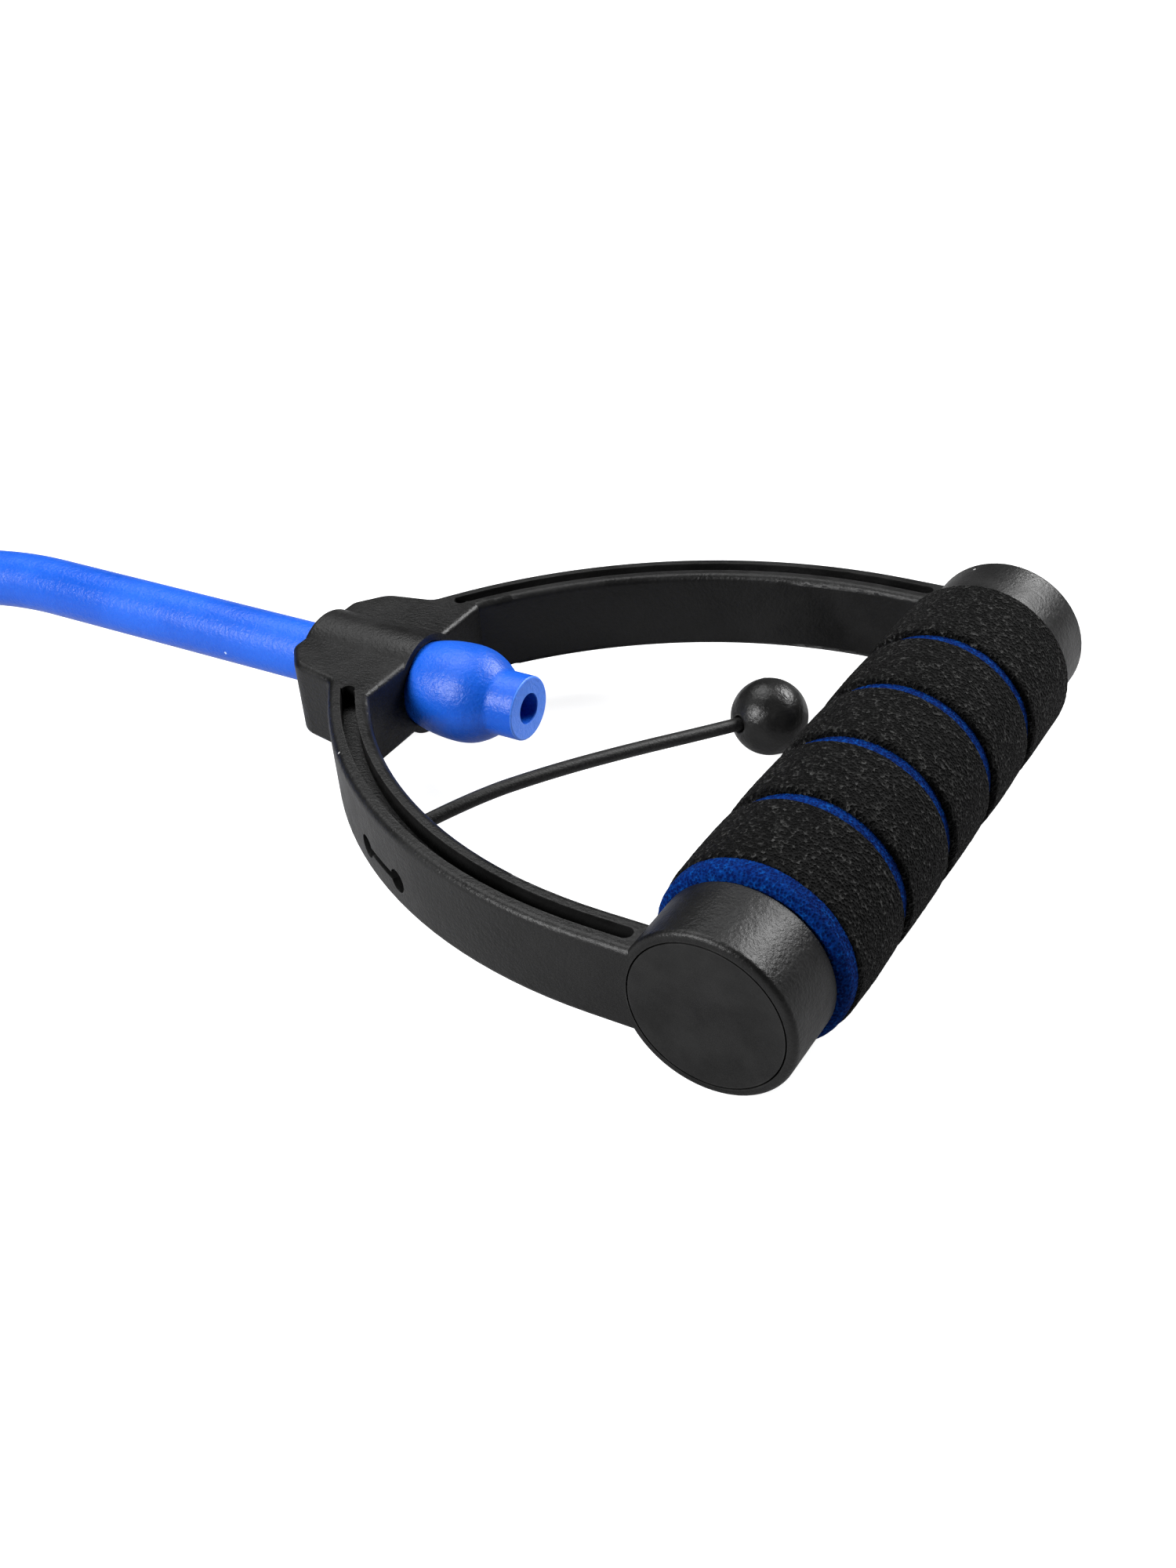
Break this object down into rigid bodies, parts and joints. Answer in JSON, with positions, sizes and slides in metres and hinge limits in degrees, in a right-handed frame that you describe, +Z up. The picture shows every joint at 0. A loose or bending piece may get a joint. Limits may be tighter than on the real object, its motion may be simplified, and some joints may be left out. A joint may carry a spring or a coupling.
{
  "type": "resistance band",
  "caption": "Elastic exercise tube with a swivelling D handle and a foam grip at each end, and a ball on a short pull cord in each handle.",
  "frame": {"origin": "on the surface that the band lies on, midway between the two handles", "axes": "+X towards handle a along the tubes and collars, +Y along the grips, +Z up"},
  "size_m": [0.7002, 0.164, 0.0392],
  "materials": {
    "handle_plastic": "satin moulded",
    "cap_plastic": "satin moulded",
    "core_plastic": "smooth",
    "blue_foam": "closed-cell foam",
    "black_foam": "closed-cell foam, ground",
    "blue_tube": "smooth latex, powdered",
    "stopper_plastic": "polished",
    "black_cord": "covered elastic",
    "ball_plastic": "moulded"
  },
  "bodies": {
    "tube": {"tube_lead_a": "blue_tube", "tube_lead_b": "blue_tube", "tube_coil": "blue_tube", "tube_end_a": "blue_tube", "tube_stopper_a": "stopper_plastic", "tube_end_b": "blue_tube", "tube_stopper_b": "stopper_plastic"},
    "handle_a": {"handle_yoke_a": "handle_plastic", "end_cap_front_a": "cap_plastic", "end_cap_back_a": "cap_plastic", "cord_stop_a": "black_cord"},
    "grip_a": {"grip_core_a": "core_plastic", "foam_sleeve_a": "blue_foam", "foam_band_1_a": "black_foam", "foam_band_2_a": "black_foam", "foam_band_3_a": "black_foam", "foam_band_4_a": "black_foam", "foam_band_5_a": "black_foam"},
    "pull_a": {"pull_cord_a": "black_cord", "pull_ball_a": "ball_plastic"},
    "handle_b": {"handle_yoke_b": "handle_plastic", "end_cap_front_b": "cap_plastic", "end_cap_back_b": "cap_plastic", "cord_stop_b": "black_cord"},
    "grip_b": {"grip_core_b": "core_plastic", "foam_sleeve_b": "blue_foam", "foam_band_1_b": "black_foam", "foam_band_2_b": "black_foam", "foam_band_3_b": "black_foam", "foam_band_4_b": "black_foam", "foam_band_5_b": "black_foam"},
    "pull_b": {"pull_cord_b": "black_cord", "pull_ball_b": "ball_plastic"}
  },
  "joints": [
    {"name": "handle_swivel_a", "type": "hinge", "parent": "tube", "child": "handle_a", "pos_m": [0.2105, 0, 0.0196], "axis": [1, 0, 0], "continuous": true},
    {"name": "grip_spin_a", "type": "hinge", "parent": "handle_a", "child": "grip_a", "pos_m": [0.3305, 0, 0.0196], "axis": [0, 1, 0], "continuous": true},
    {"name": "cord_swing_a", "type": "hinge", "parent": "handle_a", "child": "pull_a", "pos_m": [0.2495, -0.047, 0.0172], "axis": [0, 0, 1], "range_deg": [-8, 17]},
    {"name": "handle_swivel_b", "type": "hinge", "parent": "tube", "child": "handle_b", "pos_m": [-0.2105, 0, 0.0196], "axis": [-1, 0, 0], "continuous": true},
    {"name": "grip_spin_b", "type": "hinge", "parent": "handle_b", "child": "grip_b", "pos_m": [-0.3305, 0, 0.0196], "axis": [0, -1, 0], "continuous": true},
    {"name": "cord_swing_b", "type": "hinge", "parent": "handle_b", "child": "pull_b", "pos_m": [-0.2495, 0.047, 0.0172], "axis": [0, 0, 1], "range_deg": [-8, 17]}
  ]
}
